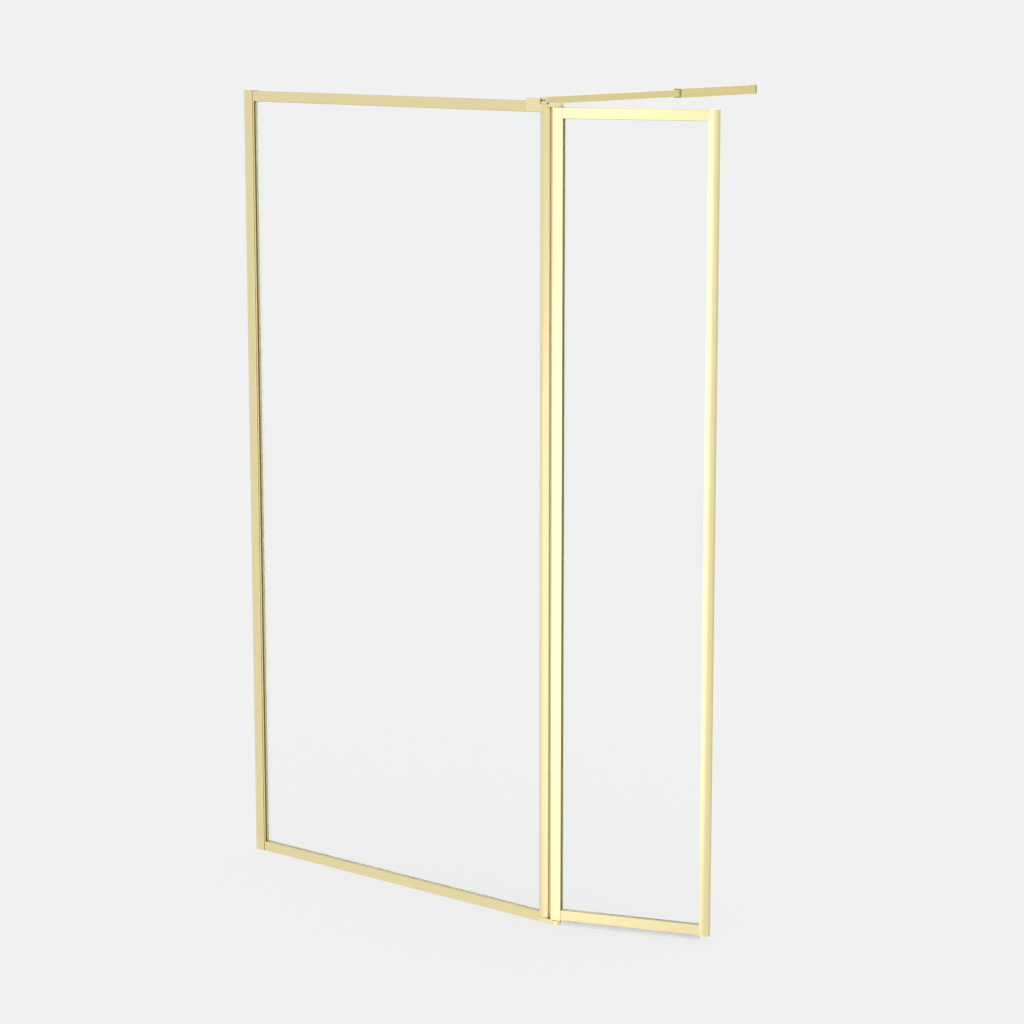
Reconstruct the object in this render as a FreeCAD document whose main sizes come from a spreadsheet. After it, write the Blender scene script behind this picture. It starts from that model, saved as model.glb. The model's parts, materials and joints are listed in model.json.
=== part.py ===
import FreeCAD, Part
import math
import os
import Sketcher

# A framed walk-in shower screen: a fixed panel in a wall channel, a pivoting return
# panel (the flipper) and a telescopic stabiliser arm. Millimetres, +Z up, X = 0 on the
# wall face, Y = 0 on the glass mid-plane, Z = 0 on the shower tray.
doc = FreeCAD.newDocument("shower_screen")
size = doc.addObject("Spreadsheet::Sheet", "size")

driving_dimensions = [
    # whole screen
    ("screen_height", 2000),
    ("fixed_width", 985),
    ("flipper_width", 401.5),
    ("flipper_angle", 20),
    ("pivot_offset", 23),
    # aluminium sections
    ("frame_depth", 22),
    ("rail_height", 25),
    ("stile_width", 22),
    ("post_width", 24),
    ("closing_width", 25.5),
    ("pivot_stile_width", 26),
    ("nose_radius", 7),
    ("wall_thickness", 1.6),
    ("lip_wall", 2.6),
    ("groove_depth", 12),
    ("edge_radius", 0.8),
    ("stile_edge_radius", 1.6),
    # glass and glazing gasket
    ("glass_thickness", 6),
    ("gasket_thickness", 1),
    ("bead_thickness", 1.2),
    ("bead_setback", 1),
    # wall channel and its adjusters
    ("channel_width", 27),
    ("channel_wall", 2),
    ("channel_clearance", 0.4),
    ("stile_reveal", 4.6),
    ("adjust_in", 4),
    ("adjust_out", 8),
    ("adjuster_x", 14),
    ("adjuster_inset", 180),
    ("adjuster_radius", 2),
    ("adjuster_head_radius", 4),
    ("adjuster_head_height", 2.2),
    ("adjuster_reach", 4),
    ("cap_wall", 0.9),
    ("wall_hole_radius", 2.5),
    ("wall_hole_inset", 150),
    ("wall_hole_count", 4),
    # brackets that carry the pivots
    ("block_width", 43),
    ("block_rise", 7),
    ("top_plate_drop", 12),
    ("top_plate_thickness", 5.5),
    ("bottom_plate_thickness", 11),
    ("plate_overhang", 10.5),
    ("plate_end_radius", 10.5),
    ("boss_rise", 4.5),
    ("front_lip_depth", 4),
    ("key_length", 25),
    ("spigot_length", 15),
    # pivots
    ("pin_radius", 3),
    ("pin_seat", 4.5),
    ("pin_reach", 10.5),
    ("bush_radius", 5.5),
    ("bush_length", 11.5),
    ("flange_radius", 9),
    ("flange_thickness", 1.2),
    # flipper details
    ("bottom_rail_lift", 2),
    ("end_cap_thickness", 1.5),
    ("end_cap_plug", 8),
    ("drip_seal_height", 11.8),
    ("drip_seal_base", 14.4),
    ("drip_seal_web", 1.4),
    # pivot gap seal
    ("gap_seal_root", 3),
    ("gap_seal_web", 1.2),
    ("swing_gap", 0.8),
    # stabiliser arm
    ("arm_setback", 12.5),
    ("arm_pin_y", -6),
    ("arm_lift", 0.4),
    ("bar_width", 16.5),
    ("bar_wall", 1.6),
    ("bar_corner", 1.2),
    ("knuckle_nose", 7.5),
    ("knuckle_length", 14),
    ("bar_end", 764),
    ("tongue_thickness", 3),
    ("tongue_radius", 5),
    ("slot_depth", 10),
    ("swivel_pin_radius", 2.5),
    ("sleeve_width", 22.5),
    ("sleeve_wall", 2),
    ("sleeve_corner", 1.4),
    ("sleeve_start", 524.5),
    ("sleeve_length", 323),
    ("sleeve_bush_length", 12),
    ("sleeve_bush_flange", 1.2),
    ("guide_length", 10),
    ("plug_length", 25),
    ("plug_flange", 3.6),
    ("plug_shadow_gap", 0.8),
    ("plug_hole_radius", 2.6),
    ("grub_radius", 2.5),
    ("grub_setback", 30),
    # set screws in the rear faces
    ("screw_radius", 2),
    ("screw_inset", 7),
    # fits
    ("sliding_fit", 0.2),
    ("running_fit", 0.05),
    ("press_fit", 0.01),
    ("thrust_gap", 0.1),
    ("swivel_gap", 0.3),
]
for row, (alias, number) in enumerate(driving_dimensions, 1):
    size.set("A%d" % row, alias)
    size.set("B%d" % row, str(number))
    size.setAlias("B%d" % row, alias)
doc.recompute()

# Derived places, written once as expressions of the sheet.
half_depth = "size.frame_depth / 2"
half_groove = "(size.glass_thickness / 2 + size.gasket_thickness)"
lip_inner = "(size.glass_thickness / 2 + size.gasket_thickness + size.lip_wall)"
lip_outer = "(size.frame_depth / 2 - size.wall_thickness)"
chamber_start = "(size.groove_depth + size.wall_thickness)"
glass_seat = "(size.groove_depth - size.gasket_thickness)"
key_half = "(size.glass_thickness / 2 + size.gasket_thickness - size.sliding_fit)"
key_wide = "(size.frame_depth / 2 - size.wall_thickness - size.sliding_fit)"

stile_face = "(size.channel_width + size.stile_reveal)"
stile_back = "(size.channel_width + size.stile_reveal - size.stile_width)"
post_edge = "(size.fixed_width - size.post_width)"
pivot_x = "(size.fixed_width + size.pivot_offset)"
block_edge = "(size.fixed_width - size.post_width - size.block_width)"
plate_end = "(size.fixed_width + size.pivot_offset + size.plate_overhang)"
post_top = "(size.screen_height - size.top_plate_drop)"
plate_top = "(size.screen_height - size.top_plate_drop + size.top_plate_thickness)"
post_bottom = "size.bottom_plate_thickness"

flipper_bottom = "(size.bottom_plate_thickness + size.thrust_gap + size.flange_thickness)"
flipper_top = "(size.screen_height - size.top_plate_drop - size.thrust_gap - size.flange_thickness)"
flipper_rail_bottom = "(%s + size.bottom_rail_lift)" % flipper_bottom
pivot_face = "(size.pivot_stile_width / 2)"
closing_apex = "(size.flipper_width - size.pivot_stile_width / 2)"
closing_edge = "(size.flipper_width - size.pivot_stile_width / 2 - size.closing_width)"

arm_x = "(size.fixed_width - size.post_width + size.arm_setback)"
arm_mid = "(%s + size.arm_lift + size.bar_width / 2)" % plate_top
bar_half = "size.bar_width / 2"
bore_half = "(size.bar_width / 2 - size.bar_wall)"
sleeve_half = "size.sleeve_width / 2"
sleeve_bore = "(size.sleeve_width / 2 - size.sleeve_wall)"
sleeve_end = "(size.sleeve_start + size.sleeve_length)"


def minus(expression):
    return "-(%s)" % expression


def total(*terms):
    return "(" + " + ".join(terms) + ")"


# Sketch helpers: every corner, centre and radius is tied to the sheet.
def origin_plane(body, role):
    for feature in body.Origin.OriginFeatures:
        if feature.Role == role:
            return feature
    raise ValueError("no plane " + role)


def new_sketch(body, role, start):
    sketch = body.newObject("Sketcher::SketchObject", body.Name + "_sketch")
    sketch.AttachmentSupport = (origin_plane(body, role), [""])
    sketch.MapMode = "FlatFace"
    sketch.setExpression("AttachmentOffset.Base.z", start)
    return sketch


def tie(sketch, kind, geometry, point, expression):
    drawn = sketch.getPoint(geometry, point)
    value = drawn.x if kind == "DistanceX" else drawn.y
    index = sketch.addConstraint(Sketcher.Constraint(kind, -1, 1, geometry, point, value))
    sketch.setExpression("Constraints[%d]" % index, expression)


def tie_point(sketch, geometry, point, across, up):
    tie(sketch, "DistanceX", geometry, point, across)
    tie(sketch, "DistanceY", geometry, point, up)


def tie_radius(sketch, geometry, expression):
    drawn = sketch.Geometry[geometry].Radius
    index = sketch.addConstraint(Sketcher.Constraint("Radius", geometry, drawn))
    sketch.setExpression("Constraints[%d]" % index, expression)


def add_polygon(sketch, corners):
    count = len(corners)
    first = sketch.GeometryCount
    ring = []
    for step in range(count):
        turn = 2 * math.pi * step / count
        ring.append(FreeCAD.Vector(math.cos(turn), math.sin(turn), 0))
    for step in range(count):
        sketch.addGeometry(Part.LineSegment(ring[step], ring[(step + 1) % count]), False)
    for step in range(count):
        following = first + (step + 1) % count
        sketch.addConstraint(Sketcher.Constraint("Coincident", first + step, 2, following, 1))
    for step, (across, up) in enumerate(corners):
        tie_point(sketch, first + step, 1, across, up)


def add_circle(sketch, across, up, radius):
    circle = Part.Circle(FreeCAD.Vector(1, 1, 0), FreeCAD.Vector(0, 0, 1), 1)
    index = sketch.addGeometry(circle, False)
    tie_point(sketch, index, 3, across, up)
    tie_radius(sketch, index, radius)


def rectangle(left, right, low, high):
    return [(left, low), (right, low), (right, high), (left, high)]


def fill_sketch(sketch, polygons, circles):
    for corners in polygons:
        add_polygon(sketch, corners)
    for across, up, radius in circles:
        add_circle(sketch, across, up, radius)


def pad(body, role, start, length, polygons=(), circles=()):
    sketch = new_sketch(body, role, start)
    fill_sketch(sketch, polygons, circles)
    feature = body.newObject("PartDesign::Pad", body.Name + "_pad")
    feature.Profile = sketch
    feature.setExpression("Length", length)
    doc.recompute()
    return feature


# A pocket runs against its plane's normal: down from XY, to +Y from XZ, to -X from YZ.
def pocket(body, role, start, length, polygons=(), circles=()):
    before = body.Shape.Volume
    sketch = new_sketch(body, role, start)
    fill_sketch(sketch, polygons, circles)
    feature = body.newObject("PartDesign::Pocket", body.Name + "_pocket")
    feature.Profile = sketch
    feature.setExpression("Length", length)
    doc.recompute()
    if not body.Shape.Volume < before:
        raise ValueError(body.Label + ": a pocket cut nothing")
    return feature


def new_body(label):
    body = doc.addObject("PartDesign::Body", label)
    body.Label = label
    body.AllowCompound = True
    return body


def round_edges(body, radius, wanted):
    base = body.Tip
    names = []
    for index, edge in enumerate(base.Shape.Edges, 1):
        if wanted(edge):
            names.append("Edge%d" % index)
    if not names:
        raise ValueError(body.Label + ": no edge to round")
    feature = body.newObject("PartDesign::Fillet", body.Name + "_fillet")
    feature.Base = (base, names)
    feature.setExpression("Radius", radius)
    doc.recompute()
    return feature


# Straight edges along one axis on the outer corners of the body's box.
def outer_corner_edges(body, axis):
    box = body.Shape.BoundBox
    limits = [(box.XMin, box.XMax), (box.YMin, box.YMax), (box.ZMin, box.ZMax)]
    others = [index for index in range(3) if index != axis]

    def wanted(edge):
        start, end = edge.Vertexes[0].Point, edge.Vertexes[-1].Point
        if abs(end[axis] - start[axis]) < edge.Length - 1e-6:
            return False
        for other in others:
            low, high = limits[other]
            if min(abs(start[other] - low), abs(start[other] - high)) > 1e-4:
                return False
        return True

    return wanted


# The frames in which the moving pieces are drawn: the flipper about its pivot axis, the
# arm about its swivel pin.
def hang_on_pivot(body):
    body.setExpression("Placement.Base.x", pivot_x)
    body.setExpression("Placement.Rotation.Angle", "size.flipper_angle")


def hang_on_arm(body):
    body.setExpression("Placement.Base.x", arm_x)
    body.setExpression("Placement.Base.y", "size.arm_pin_y")


# Box section with a glazing groove on its inner side: outline, key chamber behind the
# groove and a hollow in each lip. The section is drawn with its outer face at `back`,
# its groove mouth at `face`, and its depth across the glass.
def glazed_section(back, face, direction, width):
    def at(distance):
        return total(back, "%d * (%s)" % (direction, distance))

    groove_floor = "(%s - size.groove_depth)" % width
    outline = [
        (at("0"), minus(half_depth)),
        (face, minus(half_depth)),
        (face, minus(half_groove)),
        (at(groove_floor), minus(half_groove)),
        (at(groove_floor), half_groove),
        (face, half_groove),
        (face, half_depth),
        (at("0"), half_depth),
    ]
    key_chamber = rectangle(
        at("size.wall_thickness"), at("(%s - %s)" % (width, chamber_start)),
        minus(lip_outer), lip_outer)
    loops = [outline, key_chamber]
    for low, high in ((lip_inner, lip_outer), (minus(lip_outer), minus(lip_inner))):
        loops.append(rectangle(
            at(groove_floor), at("(%s - size.wall_thickness)" % width), low, high))
    return loops


def swap_axes(loops):
    return [[(up, across) for across, up in corners] for corners in loops]


# Bullnose section: crowned sides run from the groove lips to a small nose radius. The
# crown's radius follows from its tangents at the lip and at the nose.
def bullnose_outline(sketch, edge, apex, width_name, grooved):
    half = size.frame_depth / 2
    nose = size.nose_radius
    width = getattr(size, width_name)
    crown = ((width - nose) ** 2 / (half - nose) + half + nose) / 2
    left = apex - width
    nose_centre = FreeCAD.Vector(apex - nose, 0, 0)
    crown_centre = FreeCAD.Vector(left, crown - half, 0)
    meeting = math.atan2(nose_centre.y - crown_centre.y, nose_centre.x - crown_centre.x)
    axis = FreeCAD.Vector(0, 0, 1)
    lower = Part.ArcOfCircle(Part.Circle(crown_centre, axis, crown), -math.pi / 2, meeting)
    tip = Part.ArcOfCircle(Part.Circle(nose_centre, axis, nose), meeting, -meeting)
    mirrored_centre = FreeCAD.Vector(left, half - crown, 0)
    upper = Part.ArcOfCircle(Part.Circle(mirrored_centre, axis, crown), -meeting, math.pi / 2)
    corners = [FreeCAD.Vector(left, half, 0), FreeCAD.Vector(left, -half, 0)]
    tied = [(edge, half_depth)]
    if grooved:
        groove_half = size.glass_thickness / 2 + size.gasket_thickness
        floor = left + size.groove_depth
        floor_line = total(edge, "size.groove_depth")
        corners[1:1] = [
            FreeCAD.Vector(left, groove_half, 0), FreeCAD.Vector(floor, groove_half, 0),
            FreeCAD.Vector(floor, -groove_half, 0), FreeCAD.Vector(left, -groove_half, 0),
        ]
        tied += [
            (edge, half_groove), (floor_line, half_groove),
            (floor_line, minus(half_groove)), (edge, minus(half_groove)),
        ]
    geometry = [lower, tip, upper]
    for start, end in zip(corners, corners[1:]):
        geometry.append(Part.LineSegment(start, end))
    for curve in geometry:
        sketch.addGeometry(curve, False)
    count = len(geometry)
    for index in range(2):
        sketch.addConstraint(Sketcher.Constraint("Tangent", index, 2, index + 1, 1))
    for index in range(2, count):
        sketch.addConstraint(Sketcher.Constraint("Coincident", index, 2, (index + 1) % count, 1))
    for index, (across, up) in enumerate(tied):
        tie_point(sketch, 3 + index, 1, across, up)
    tie_point(sketch, 0, 1, edge, minus(half_depth))
    tie_radius(sketch, 1, "size.nose_radius")
    tie_point(sketch, 1, 3, "%s + size.%s - size.nose_radius" % (edge, width_name), "0")
    for crown_arc in (0, 2):
        tie(sketch, "DistanceX", crown_arc, 3, edge)


def bullnose_chambers(edge, width_name):
    start = total(edge, chamber_start)
    end = "(%s + size.%s - size.nose_radius + size.wall_thickness)" % (edge, width_name)
    return [rectangle(start, end, minus(half_groove), half_groove)]


def bullnose_pad(body, edge, apex, width_name, bottom, length, hollow):
    sketch = new_sketch(body, "XY_Plane", bottom)
    bullnose_outline(sketch, edge, apex, width_name, hollow)
    if hollow:
        fill_sketch(sketch, bullnose_chambers(edge, width_name), ())
    feature = body.newObject("PartDesign::Pad", body.Name + "_pad")
    feature.Profile = sketch
    feature.setExpression("Length", length)
    doc.recompute()


# U-shaped gasket that wraps one edge of the pane. `floor` lies on the groove floor and
# `mouth` on the groove mouth.
def gasket_section(floor, inner, mouth):
    half_glass = "size.glass_thickness / 2"
    return [[
        (floor, minus(half_groove)), (mouth, minus(half_groove)),
        (mouth, minus(half_glass)), (inner, minus(half_glass)),
        (inner, half_glass), (mouth, half_glass),
        (mouth, half_groove), (floor, half_groove),
    ]]


# The gasket's rear bead covers the rear lip, from the glass to just short of the frame's face.
def add_bead(body, role, start, length, mouth, direction):
    edge = total(mouth, "%d * size.bead_thickness" % direction)
    low, high = (mouth, edge) if direction > 0 else (edge, mouth)
    bead = [rectangle(low, high, "size.glass_thickness / 2", "size.frame_depth / 2 - size.bead_setback")]
    pad(body, role, start, length, swap_axes(bead) if role == "YZ_Plane" else bead)


def straight_piece(label, role, start, length, polygons=(), circles=()):
    body = new_body(label)
    pad(body, role, start, length, polygons, circles)
    return body


# Set screws stand flush in the rear wall of a rail and press on the key inside it.
def rear_holes(body, places):
    radius = "size.screw_radius + size.press_fit"
    pocket(body, "XZ_Plane", minus(lip_outer), "size.wall_thickness",
           circles=[(x, z, radius) for x, z in places])


def rear_screws(label, places):
    return straight_piece(
        label, "XZ_Plane", minus(half_depth), "size.wall_thickness + size.sliding_fit",
        circles=[(x, z, "size.screw_radius") for x, z in places])


# Heights and places that several pieces share.
key_height = "(size.rail_height - size.groove_depth) / 2"
key_low = "size.wall_thickness + size.sliding_fit"
key_high = "size.rail_height - %s - size.sliding_fit" % chamber_start
glass_low = total("size.rail_height", minus(glass_seat))
channel_inner = "(size.frame_depth / 2 + size.channel_clearance)"
channel_outer = "(size.frame_depth / 2 + size.channel_clearance + size.channel_wall)"
fixed_span = "%s - %s" % (post_edge, stile_face)
post_length = "%s - %s" % (post_top, post_bottom)
swing_radius = "sqrt((size.pivot_stile_width / 2) ^ 2 + (size.frame_depth / 2) ^ 2)"

adjuster_heights = [
    "size.adjuster_inset", "size.screen_height / 2", "size.screen_height - size.adjuster_inset",
]
wall_hole_heights = []
for hole in range(int(size.wall_hole_count)):
    share = "%d / (size.wall_hole_count - 1)" % hole
    wall_hole_heights.append(
        "size.wall_hole_inset + %s * (size.screen_height - 2 * size.wall_hole_inset)" % share)


def from_top(height):
    return "size.screen_height - (%s)" % height


# Wall channel: a deep U with screw holes in its web and adjuster slots in its rear flange.
wall_channel = straight_piece("wall_channel", "XY_Plane", "0", "size.screen_height", [[
    ("0", minus(channel_outer)), ("size.channel_width", minus(channel_outer)),
    ("size.channel_width", minus(channel_inner)), ("size.channel_wall", minus(channel_inner)),
    ("size.channel_wall", channel_inner), ("size.channel_width", channel_inner),
    ("size.channel_width", channel_outer), ("0", channel_outer),
]])
round_edges(wall_channel, "size.edge_radius", outer_corner_edges(wall_channel, 2))
pocket(wall_channel, "YZ_Plane", "size.channel_wall", "size.channel_wall",
       circles=[("0", height, "size.wall_hole_radius") for height in wall_hole_heights])
slot_half = "(size.adjuster_radius + size.sliding_fit)"
slot_left = "(size.adjuster_x - size.adjust_in)"
slot_right = "(size.adjuster_x + size.adjust_out)"
pocket(wall_channel, "XZ_Plane", minus(channel_inner), "size.channel_wall", [
    rectangle(slot_left, slot_right, "%s - %s" % (height, slot_half), "%s + %s" % (height, slot_half))
    for height in adjuster_heights])
for slot_end in (slot_left, slot_right):
    pocket(wall_channel, "XZ_Plane", minus(channel_inner), "size.channel_wall",
           circles=[(slot_end, height, slot_half) for height in adjuster_heights])

# The channel's cap closes its top, with a plug behind the stile's travel.
channel_cap = straight_piece(
    "channel_cap", "XY_Plane", "size.screen_height", "size.end_cap_thickness",
    [rectangle("0", "size.channel_width", minus(channel_outer), channel_outer)])
pad(channel_cap, "XY_Plane", "size.screen_height - size.end_cap_plug", "size.end_cap_plug",
    [rectangle("size.channel_wall + size.press_fit",
               "%s - size.adjust_in - size.sliding_fit" % stile_back,
               minus(half_depth), half_depth)])

# Fixed frame: wall stile, two rails and the bullnose post that carries the pivots.
rail_key_x = "%s + size.key_length - size.screw_inset" % stile_face
bottom_bracket_x = "%s - size.key_length + size.screw_inset" % post_edge
top_bracket_x = "%s - size.key_length + size.screw_inset" % block_edge

stile_top = "(size.screen_height - size.sliding_fit - size.end_cap_thickness)"
wall_stile = straight_piece(
    "wall_stile", "XY_Plane", "0", stile_top,
    glazed_section(stile_back, stile_face, 1, "size.stile_width"))
round_edges(wall_stile, "size.edge_radius", outer_corner_edges(wall_stile, 2))
pocket(wall_stile, "XZ_Plane", minus(lip_outer), "size.wall_thickness", circles=[
    ("size.adjuster_x", height, "size.adjuster_radius + size.press_fit")
    for height in adjuster_heights])

wall_stile_cap = straight_piece(
    "wall_stile_cap", "XY_Plane", stile_top, "size.end_cap_thickness",
    [rectangle(stile_back, stile_face, minus(half_depth), half_depth)])
pad(wall_stile_cap, "XY_Plane", "%s - size.end_cap_plug" % stile_top, "size.end_cap_plug",
    [rectangle("%s + size.wall_thickness + size.sliding_fit" % stile_back,
               "%s - %s - size.sliding_fit" % (stile_face, chamber_start),
               minus(key_wide), key_wide)])

bottom_rail = straight_piece(
    "bottom_rail", "YZ_Plane", stile_face, fixed_span,
    swap_axes(glazed_section("0", "size.rail_height", 1, "size.rail_height")))
round_edges(bottom_rail, "size.edge_radius", outer_corner_edges(bottom_rail, 0))
rear_holes(bottom_rail, [(rail_key_x, key_height), (bottom_bracket_x, key_height)])

top_rail = straight_piece(
    "top_rail", "YZ_Plane", stile_face, "%s - %s" % (block_edge, stile_face),
    swap_axes(glazed_section(
        "size.screen_height", from_top("size.rail_height"), -1, "size.rail_height")))
round_edges(top_rail, "size.edge_radius", outer_corner_edges(top_rail, 0))
rear_holes(top_rail, [(rail_key_x, from_top(key_height)), (top_bracket_x, from_top(key_height))])

pivot_post = new_body("pivot_post")
bullnose_pad(pivot_post, post_edge, size.fixed_width, "post_width", post_bottom, post_length, True)
seal_root_half = "size.gap_seal_root / 2"
pocket(pivot_post, "XY_Plane", post_top, post_length, [rectangle(
    "size.fixed_width - size.gap_seal_root", "size.fixed_width + size.gap_seal_root",
    minus(seal_root_half), seal_root_half)])

# A corner key: a wide end inside the rail's chamber and a narrow end in the stile's groove.
def corner_keys(label, bars):
    body = new_body(label)
    for half, reach in ((key_half, 0), (key_wide, 1)):
        pad(body, "XZ_Plane", minus(half), "2 * %s" % half, [bar[reach] for bar in bars])
    return body


wall_key_bars = []
for low, high in ((key_low, key_high), (from_top(key_high), from_top(key_low))):
    wall_key_bars.append((
        rectangle("%s - size.groove_depth + size.sliding_fit" % stile_face, stile_face, low, high),
        rectangle(stile_face, "%s + size.key_length" % stile_face, low, high)))
wall_corner_keys = corner_keys("wall_corner_keys", wall_key_bars)

frame_screws = rear_screws("frame_screws", [
    (rail_key_x, key_height), (bottom_bracket_x, key_height),
    (rail_key_x, from_top(key_height)), (top_bracket_x, from_top(key_height))])

# Fixed pane and its four lengths of gasket.
pane_left = "%s - %s" % (stile_face, glass_seat)
pane_right = "%s + %s" % (post_edge, glass_seat)
pane_height = "size.screen_height - 2 * %s" % glass_low
half_glass = "size.glass_thickness / 2"
fixed_glass = straight_piece(
    "fixed_glass", "XZ_Plane", minus(half_glass), "size.glass_thickness",
    [rectangle(pane_left, pane_right, glass_low, from_top(glass_low))])
fixed_gasket_wall = straight_piece(
    "fixed_gasket_wall", "XY_Plane", glass_low, pane_height,
    gasket_section("%s - size.groove_depth" % stile_face, pane_left, stile_face))
fixed_gasket_post = straight_piece(
    "fixed_gasket_post", "XY_Plane", glass_low, pane_height,
    gasket_section("%s + size.groove_depth" % post_edge, pane_right, post_edge))
fixed_gasket_bottom = straight_piece(
    "fixed_gasket_bottom", "YZ_Plane", stile_face, fixed_span,
    swap_axes(gasket_section("size.rail_height - size.groove_depth", glass_low, "size.rail_height")))
fixed_gasket_top = straight_piece(
    "fixed_gasket_top", "YZ_Plane", stile_face, fixed_span,
    swap_axes(gasket_section(
        from_top("size.rail_height - size.groove_depth"), from_top(glass_low),
        from_top("size.rail_height"))))
bead_low = "(size.rail_height + size.bead_thickness)"
bead_span = "size.screen_height - 2 * %s" % bead_low
add_bead(fixed_gasket_wall, "XY_Plane", bead_low, bead_span, stile_face, 1)
add_bead(fixed_gasket_post, "XY_Plane", bead_low, bead_span, post_edge, -1)
add_bead(fixed_gasket_bottom, "YZ_Plane", stile_face, fixed_span, "size.rail_height", 1)
add_bead(fixed_gasket_top, "YZ_Plane", stile_face, fixed_span, from_top("size.rail_height"), -1)

# Adjuster screws slide with the stile in the channel's slots, under push-on caps.
head_base = "(%s + size.thrust_gap)" % channel_outer
adjuster_screws = straight_piece(
    "adjuster_screws", "XZ_Plane", minus(head_base),
    "%s - %s + size.adjuster_reach" % (head_base, half_depth),
    circles=[("size.adjuster_x", height, "size.adjuster_radius") for height in adjuster_heights])


def hexagon(across, up, radius):
    corners = []
    for turn in range(0, 360, 60):
        corners.append((
            "%s + %s * cos(%d deg)" % (across, radius, turn),
            "%s + %s * sin(%d deg)" % (up, radius, turn)))
    return corners


pad(adjuster_screws, "XZ_Plane", minus(head_base + " + size.adjuster_head_height"),
    "size.adjuster_head_height",
    [hexagon("size.adjuster_x", height, "size.adjuster_head_radius") for height in adjuster_heights])
cap_radius = "size.adjuster_head_radius + size.press_fit + size.cap_wall"
adjuster_caps = straight_piece(
    "adjuster_caps", "XZ_Plane",
    minus(head_base + " + size.adjuster_head_height + size.cap_wall"),
    "size.adjuster_head_height + size.cap_wall",
    circles=[("size.adjuster_x", height, cap_radius) for height in adjuster_heights])
pocket(adjuster_caps, "XZ_Plane", minus(head_base), "size.adjuster_head_height", [
    hexagon("size.adjuster_x", height, "(size.adjuster_head_radius + size.press_fit)")
    for height in adjuster_heights])

# Top bracket: a block on the rail's end with a tongue for the arm, and a plate over the
# post and the flipper's pivot. A key holds it in the rail and a spigot in the post.
block_top = "size.screen_height + size.block_rise"
spigot_left = "%s + %s + size.sliding_fit" % (post_edge, chamber_start)
spigot_right = "size.fixed_width - size.nose_radius + size.wall_thickness - size.sliding_fit"
spigot_section = rectangle(spigot_left, spigot_right, minus(key_half), key_half)


def vertical_edges_at(x_place):
    def wanted(edge):
        start, end = edge.Vertexes[0].Point, edge.Vertexes[-1].Point
        upright = abs(end.z - start.z) > edge.Length - 1e-6
        return upright and abs(start.x - x_place) < 1e-4

    return wanted


def level_edges_at(z_place):
    def wanted(edge):
        return all(abs(vertex.Point.z - z_place) < 1e-4 for vertex in edge.Vertexes)

    return wanted


top_bracket = straight_piece("top_bracket", "XZ_Plane", minus(half_depth), "size.frame_depth", [[
    (block_edge, from_top("size.rail_height")), (post_edge, from_top("size.rail_height")),
    (post_edge, post_top), (plate_end, post_top), (plate_end, plate_top),
    (post_edge, plate_top), (post_edge, block_top), (block_edge, block_top),
]])
round_edges(top_bracket, "size.plate_end_radius", vertical_edges_at(top_bracket.Shape.BoundBox.XMax))
round_edges(top_bracket, "size.edge_radius", level_edges_at(top_bracket.Shape.BoundBox.ZMax))
pocket(top_bracket, "YZ_Plane", post_edge, "size.block_width", [rectangle(
    minus(half_groove), half_groove,
    from_top("size.rail_height"), from_top("size.rail_height - size.groove_depth"))])
pad(top_bracket, "YZ_Plane", "%s - size.key_length" % block_edge, "size.key_length",
    [rectangle(minus(key_wide), key_wide, from_top(key_high), from_top(key_low))])
pad(top_bracket, "XY_Plane", "%s - size.spigot_length" % post_top, "size.spigot_length",
    [spigot_section])
pad(top_bracket, "XY_Plane", plate_top, "size.boss_rise",
    circles=[(pivot_x, "0", "size.plate_end_radius")])
pad(top_bracket, "XY_Plane", plate_top, "size.boss_rise", [rectangle(
    "%s + size.arm_setback" % arm_x, pivot_x,
    "-size.plate_end_radius", "size.front_lip_depth - size.plate_end_radius")])
tongue_low = "%s - size.tongue_thickness / 2" % arm_mid
pad(top_bracket, "XY_Plane", tongue_low, "size.tongue_thickness", [rectangle(
    post_edge, arm_x,
    "size.arm_pin_y - size.tongue_radius", "size.arm_pin_y + size.tongue_radius")])
pad(top_bracket, "XY_Plane", tongue_low, "size.tongue_thickness",
    circles=[(arm_x, "size.arm_pin_y", "size.tongue_radius")])
pocket(top_bracket, "XY_Plane", "%s + size.tongue_thickness / 2" % arm_mid, "size.tongue_thickness",
       circles=[(arm_x, "size.arm_pin_y", "size.swivel_pin_radius + size.press_fit")])
pin_hole = (pivot_x, "0", "size.pin_radius + size.press_fit")
pocket(top_bracket, "XY_Plane", "%s + size.pin_seat" % post_top, "size.pin_seat", circles=[pin_hole])

# Bottom bracket: a plate under the post and the pivot, keyed to the rail in the same way.
bottom_bracket = straight_piece(
    "bottom_bracket", "XZ_Plane", minus(half_depth), "size.frame_depth",
    [rectangle(post_edge, plate_end, "0", post_bottom)])
round_edges(bottom_bracket, "size.plate_end_radius",
            vertical_edges_at(bottom_bracket.Shape.BoundBox.XMax))
pad(bottom_bracket, "YZ_Plane", "%s - size.key_length" % post_edge, "size.key_length",
    [rectangle(minus(key_wide), key_wide, key_low, key_high)])
pad(bottom_bracket, "XY_Plane", post_bottom, "size.spigot_length", [spigot_section])
pocket(bottom_bracket, "XY_Plane", post_bottom, "size.pin_seat", circles=[pin_hole])

# Pivot pins stand in the brackets; the swivel pin stands in the arm's tongue.
pin_length = "size.pin_seat + size.pin_reach"
pin_circle = (pivot_x, "0", "size.pin_radius")
top_pivot_pin = straight_piece(
    "top_pivot_pin", "XY_Plane", "%s - size.pin_reach" % post_top, pin_length, circles=[pin_circle])
bottom_pivot_pin = straight_piece(
    "bottom_pivot_pin", "XY_Plane", "%s - size.pin_seat" % post_bottom, pin_length,
    circles=[pin_circle])
arm_swivel_pin = straight_piece(
    "arm_swivel_pin", "XY_Plane", "%s - %s" % (arm_mid, bar_half), "size.bar_width",
    circles=[(arm_x, "size.arm_pin_y", "size.swivel_pin_radius")])

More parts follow.
